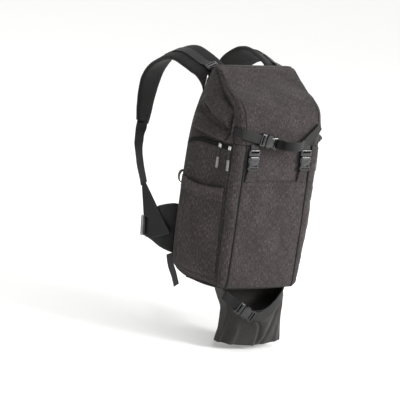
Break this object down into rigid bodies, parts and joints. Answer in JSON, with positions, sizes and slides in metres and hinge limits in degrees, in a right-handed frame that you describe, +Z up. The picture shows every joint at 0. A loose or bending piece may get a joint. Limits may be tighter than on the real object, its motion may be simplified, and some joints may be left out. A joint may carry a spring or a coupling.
{
  "type": "camera backpack",
  "caption": "Camera backpack with a sloping lid, side doors and stretch pockets, a front slip pocket, a front carrying strap with a foot pouch, padded shoulder straps and a hip belt.",
  "frame": {"origin": "midway between the two shoulder straps, where they rest on the shoulders", "axes": "+Z up, +Y from the pack towards the harness side, +X to the right"},
  "size_m": [0.3166, 0.469, 0.6284],
  "materials": {
    "heather_cloth": "woven heather",
    "black_cloth": "plain weave",
    "webbing": "ribbed webbing",
    "zip_tape": "coated zip",
    "buckle_plastic": "moulded",
    "zip_metal": "nickel plated"
  },
  "bodies": {
    "root": {"main_shell": "heather_cloth", "lid": "heather_cloth", "corner_strip_left": "heather_cloth", "corner_strip_right": "heather_cloth", "front_pocket": "heather_cloth", "side_door_left": "heather_cloth", "side_door_right": "heather_cloth", "side_zip_left": "zip_tape", "side_zip_right": "zip_tape", "side_pocket_left": "heather_cloth", "side_pocket_right": "heather_cloth", "lid_strap_left": "webbing", "lid_strap_right": "webbing", "lid_clip_left": "buckle_plastic", "lid_clip_right": "buckle_plastic", "lid_socket_left": "buckle_plastic", "lid_socket_right": "buckle_plastic", "socket_tab_left": "heather_cloth", "socket_tab_right": "heather_cloth", "front_strap_left": "webbing", "front_strap_clip": "buckle_plastic", "front_strap_socket": "buckle_plastic", "front_strap_right": "webbing", "foot_pouch": "black_cloth", "pouch_strap_left": "webbing", "pouch_clip": "buckle_plastic", "pouch_socket": "buckle_plastic", "pouch_strap_right": "webbing", "back_panel": "black_cloth", "shoulder_strap_left": "black_cloth", "shoulder_strap_right": "black_cloth", "load_lifter_left": "webbing", "load_lifter_right": "webbing", "lifter_adjuster_left": "buckle_plastic", "lifter_adjuster_right": "buckle_plastic", "lower_webbing_left": "webbing", "lower_webbing_right": "webbing", "hip_wing_left": "black_cloth", "hip_wing_right": "black_cloth", "belt_webbing_left": "webbing", "belt_webbing_right": "webbing", "belt_slider_left": "buckle_plastic", "belt_slider_right": "buckle_plastic", "belt_buckle": "buckle_plastic", "gusset_left": "black_cloth", "gusset_right": "black_cloth", "strap_tail_left": "webbing", "strap_tail_right": "webbing", "side_loop_left": "webbing", "side_loop_right": "webbing", "zip_pull_rear_left": "zip_metal", "zip_pull_rear_right": "zip_metal", "zip_pull_front_left": "zip_metal", "zip_pull_front_right": "zip_metal", "back_zip_pull": "zip_metal"}
  },
  "joints": []
}
